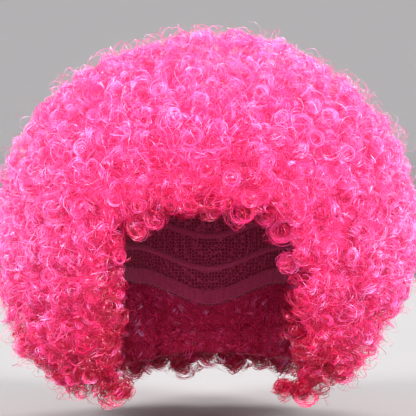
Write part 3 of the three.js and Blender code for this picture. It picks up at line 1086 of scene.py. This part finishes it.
def outer_curls(surface):
    """Rings and hoops all over the outer surface, gathered in clumps that stand out like low domes, paler on
    the domes as painted light and deeper between them as painted shade.
    """
    seeds = surface[spaced_out(surface, CURL_SPACING)]
    middles = surface[spaced_out(surface, CLUMP_SPACING)]
    apart = seeds[:, None] - middles[None]
    nearest = np.argmin(np.linalg.norm(apart, axis=2), axis=1)
    aside = apart[np.arange(len(seeds)), nearest] / CLUMP_REACH
    dome = np.clip(1 - dots(aside, aside), CLUMP_DIP, 1)
    outward = ball_normals(seeds)
    seeds = seeds + outward * dome * CLUMP_RISE
    normals = unit(outward + aside * CLUMP_FAN)
    parts = mixed_curls(seeds, normals, CLUMP_PAINTED_LIGHT_SHADE * dome[:, 0])
    crests = surface[spaced_out(surface, CLEAR_SPACING)]
    outward = ball_normals(crests)
    radius = between(CLEAR_RADIUS, len(crests))
    return parts + [clear_rings(crests + outward * CLEAR_OUT, outward, radius, CLEAR_STRANDS)]


def drawn_in(part):
    """The part with its low points moved up, and in or out."""
    points = part["points"].copy()
    flare = np.interp(points[:, 2], HEM_HEIGHTS, HEM_FLARES)
    low = np.clip((HEM_START - points[:, 2]) / HEM_REACH, 0, 1)
    points[:, 2] += eased(low) * np.interp(points[:, 0], HEM_SIDES, HEM_LIFTS)
    points[:, :2] += (points[:, :2] - ball_centre[:2]) * flare[:, None]
    return {**part, "points": points}


def make_hair():
    """For each hair node, the dense mass and all the strands on it."""
    fibre, under = hair_material(), under_material()
    samples = {node: sample(node) for node in HAIR_NODES}
    outside = {node: outer_ones(*samples[node]) for node in HAIR_NODES}
    outer_places = np.concatenate([samples[node][0][outside[node]] for node in HAIR_NODES])[::CANOPY_EVERY]
    opening = opening_edges()
    rolls = [
        roll_seeds(*opening, np.broadcast_to([0.0, -1.0, 0.0], opening[0].shape), OPENING_LEAST_INSET, False),
        roll_seeds(*lower_rim(), RIM_LEAST_INSET, True),
    ]
    for node in HAIR_NODES:
        places, normals = samples[node]
        outer = places[outside[node]]
        area = len(outer) / SAMPLES_PER_M2
        surface = lift_to_canopy(outer[::SURFACE_EVERY], outer_places)
        parts = outer_curls(surface)
        parts.append(fibres(surface, int(area * FRIZZ_PER_M2), FRIZZ))
        parts.append(fibres(surface, int(area * FLYAWAYS_PER_M2), FLYAWAYS))
        inner = ~outside[node]
        parts += edge_curls(places[inner][::EDGE_EVERY], normals[inner][::EDGE_EVERY])
        for seeds in rolls:
            if node in seeds:
                parts += mixed_curls(*seeds[node], np.full(len(seeds[node][0]), ROLL_PAINTED_SHADE))
        if node in LUMPS:
            parts += lump_curls(LUMPS[node])
        add_piece(f"{node}_under", [drawn_in(under_mass(node, outer_places))], under, node)
        add_piece(f"{node}_strands", [drawn_in(part) for part in parts], fibre, node)


# The stage: a pale floor that turns up into a round wall, soft lights and the camera
def make_stage():
    """One smooth sheet: the floor, a round corner and the wall."""
    floor_z = cad_low.z - FLOOR_BELOW
    profile = [
        (WALL_RADIUS + WALL_CORNER * math.sin(turn), floor_z + WALL_CORNER * (1 - math.cos(turn)))
        for turn in np.linspace(0, math.pi / 2, WALL_CORNER_STEPS)
    ]
    profile.append((WALL_RADIUS + WALL_CORNER, floor_z + WALL_HEIGHT))
    around = np.linspace(0, 2 * math.pi, WALL_SECTORS + 1)[:-1]
    points = [(0, 0, floor_z)]
    points += [(r * math.cos(a), r * math.sin(a), z) for r, z in profile for a in around]
    sides = [(i, (i + 1) % WALL_SECTORS) for i in range(WALL_SECTORS)]
    faces = [(0, 1 + i, 1 + following) for i, following in sides]
    for ring in range(len(profile) - 1):
        low, high = 1 + WALL_SECTORS * ring, 1 + WALL_SECTORS * (ring + 1)
        faces += [(low + i, high + i, high + following, low + following) for i, following in sides]
    mesh = bpy.data.meshes.new("floor")
    mesh.from_pydata(points, [], faces, shade_flat=False)
    add_object("floor", mesh, paper_material(floor_z))


def add_light(name, place, size, power, colour):
    data = bpy.data.lights.new(name, "AREA")
    data.shape = "DISK"
    data.size = size
    data.energy = power
    data.color = colour
    light = bpy.data.objects.new(name, data)
    light.location = place
    light.rotation_euler = (Vector(ball_centre) - Vector(place)).to_track_quat("-Z", "Y").to_euler()
    bpy.context.scene.collection.objects.link(light)


def make_lights():
    for name, values in LIGHTS.items():
        add_light(name, **values)
    world = bpy.data.worlds.new("studio")
    world.use_nodes = True
    background = world.node_tree.nodes["Background"]
    background.inputs["Color"].default_value = WORLD_COLOUR
    background.inputs["Strength"].default_value = WORLD_STRENGTH
    bpy.context.scene.world = world


def make_camera():
    data = bpy.data.cameras.new("camera")
    data.sensor_width = SENSOR_WIDTH
    data.lens = data.sensor_width / 2 / math.tan(VIEW_ANGLE / 2)
    camera = bpy.data.objects.new("camera", data)
    camera.location = CAMERA_PLACE
    camera.rotation_euler = (math.pi / 2, 0, 0)
    bpy.context.scene.collection.objects.link(camera)
    bpy.context.scene.camera = camera
    bpy.context.scene.view_settings.view_transform = "Standard"


make_camera()
make_stage()
make_lights()
make_cap()
make_seams()
make_band()
make_hair()
